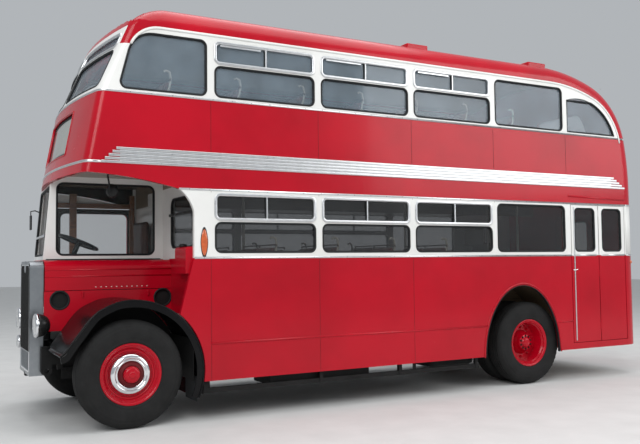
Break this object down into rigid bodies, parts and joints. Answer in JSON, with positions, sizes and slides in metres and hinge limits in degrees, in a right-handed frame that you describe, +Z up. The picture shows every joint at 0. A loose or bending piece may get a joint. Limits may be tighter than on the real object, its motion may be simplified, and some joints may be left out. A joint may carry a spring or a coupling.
{
  "type": "double decker bus",
  "caption": "Front-engined half-cab double decker bus with an enclosed rear platform, folding doors and a sunk upper gangway.",
  "frame": {"origin": "on the ground under the middle of the bus's length and width", "axes": "+X to the front, +Y to the nearside (left), +Z up"},
  "size_m": [7.764, 2.306, 4.097],
  "materials": {
    "body_red": "gloss",
    "body_white": "gloss",
    "wing_black": "gloss",
    "chassis_black": "satin",
    "engine_grey": "matt",
    "bright_metal": "polished",
    "wheel_red": "gloss",
    "tyre": "matt",
    "glass": "clear",
    "floor_wood": "matt",
    "seat_cloth": "woven",
    "seat_leather": "satin",
    "seat_metal": "gloss",
    "control_black": "gloss"
  },
  "bodies": {
    "bus": {"chassis_rails": "chassis_black", "cross_members": "chassis_black", "front_axle": "chassis_black", "rear_axle": "chassis_black", "engine": "engine_grey", "driveline": "chassis_black", "fuel_tank": "chassis_black", "life_rails": "chassis_black", "floor_and_platform": "floor_wood", "deck_between": "floor_wood", "staircase": "floor_wood", "saloon_bulkhead": "body_white", "lower_side_panels": "body_red", "lower_window_pillars": "body_white", "lower_rear_panel": "body_red", "upper_side_panels": "body_red", "upper_window_pillars": "body_white", "upper_rear_panel": "body_red", "upper_front_panel": "body_red", "upper_front_frame": "body_white", "roof": "body_red", "fluted_bands": "bright_metal", "side_glazing": "glass", "end_glazing": "glass", "cab_glazing": "glass", "cab_window_frame": "body_white", "cab_lower_panel": "body_red", "bonnet_valance": "body_red", "radiator_shell": "bright_metal", "radiator_core": "chassis_black", "front_wings": "wing_black", "headlamps": "wing_black", "mirrors": "control_black", "steering_wheel": "control_black", "driver_seat": "seat_leather", "lower_seats": "seat_cloth", "upper_seats": "seat_cloth", "seat_frames": "seat_metal"},
    "cab_door_body": {"cab_door": "body_red", "cab_door_glass": "glass"},
    "bonnet_lid_body": {"bonnet_lid": "body_red"},
    "emergency_door_body": {"emergency_door": "body_red", "emergency_door_glass": "glass"},
    "platform_front_leaf_body": {"platform_door_front_leaf": "body_red", "platform_door_front_glass": "glass"},
    "platform_rear_leaf_body": {"platform_door_rear_leaf": "body_red", "platform_door_rear_glass": "glass"},
    "knuckle_nearside": {"front_knuckle_nearside": "chassis_black"},
    "knuckle_offside": {"front_knuckle_offside": "chassis_black"},
    "front_wheel_nearside_body": {"front_tyre_nearside": "tyre", "front_wheel_nearside": "wheel_red"},
    "front_wheel_offside_body": {"front_tyre_offside": "tyre", "front_wheel_offside": "wheel_red"},
    "rear_wheels_nearside_body": {"rear_tyres_nearside": "tyre", "rear_wheels_nearside": "wheel_red"},
    "rear_wheels_offside_body": {"rear_tyres_offside": "tyre", "rear_wheels_offside": "wheel_red"}
  },
  "joints": [
    {"name": "steer_nearside", "type": "hinge", "parent": "bus", "child": "knuckle_nearside", "pos_m": [3.05, 0.8, 0.504], "axis": [0, 0, 1], "range_deg": [-28, 28]},
    {"name": "steer_offside", "type": "hinge", "parent": "bus", "child": "knuckle_offside", "pos_m": [3.05, -0.8, 0.504], "axis": [0, 0, 1], "range_deg": [-28, 28]},
    {"name": "front_wheel_spin_nearside", "type": "hinge", "parent": "knuckle_nearside", "child": "front_wheel_nearside_body", "pos_m": [3.05, 0.98, 0.504], "axis": [0, 1, 0], "continuous": true},
    {"name": "front_wheel_spin_offside", "type": "hinge", "parent": "knuckle_offside", "child": "front_wheel_offside_body", "pos_m": [3.05, -0.98, 0.504], "axis": [0, 1, 0], "continuous": true},
    {"name": "rear_wheels_spin_nearside", "type": "hinge", "parent": "bus", "child": "rear_wheels_nearside_body", "pos_m": [-1.903, 0.805, 0.504], "axis": [0, 1, 0], "continuous": true},
    {"name": "rear_wheels_spin_offside", "type": "hinge", "parent": "bus", "child": "rear_wheels_offside_body", "pos_m": [-1.903, -0.805, 0.504], "axis": [0, 1, 0], "continuous": true},
    {"name": "bonnet_lid_hinge", "type": "hinge", "parent": "bus", "child": "bonnet_lid_body", "pos_m": [3.05, 0.036, 1.572], "axis": [1, 0, 0], "range_deg": [0, 60]},
    {"name": "cab_door_hinge", "type": "hinge", "parent": "bus", "child": "cab_door_body", "pos_m": [2.454, -1.143, 1.5], "axis": [0, 0, -1], "range_deg": [0, 75]},
    {"name": "emergency_door_hinge", "type": "hinge", "parent": "bus", "child": "emergency_door_body", "pos_m": [-3.88197, -0.336, 1.4], "axis": [0, 0, 1], "range_deg": [0, 90]},
    {"name": "platform_door_fold", "type": "hinge", "parent": "bus", "child": "platform_front_leaf_body", "pos_m": [-2.576, 1.107, 1.35], "axis": [0, 0, 1], "range_deg": [0, 85]},
    {"name": "platform_door_leaf_joint", "type": "hinge", "parent": "platform_front_leaf_body", "child": "platform_rear_leaf_body", "pos_m": [-3.068, 1.143, 1.35], "axis": [0, 0, 1], "range_deg": [-170, 0]}
  ],
  "couplings": [
    {"joint": "steer_offside", "follows": "steer_nearside", "ratio": 1},
    {"joint": "platform_door_leaf_joint", "follows": "platform_door_fold", "ratio": -2}
  ]
}
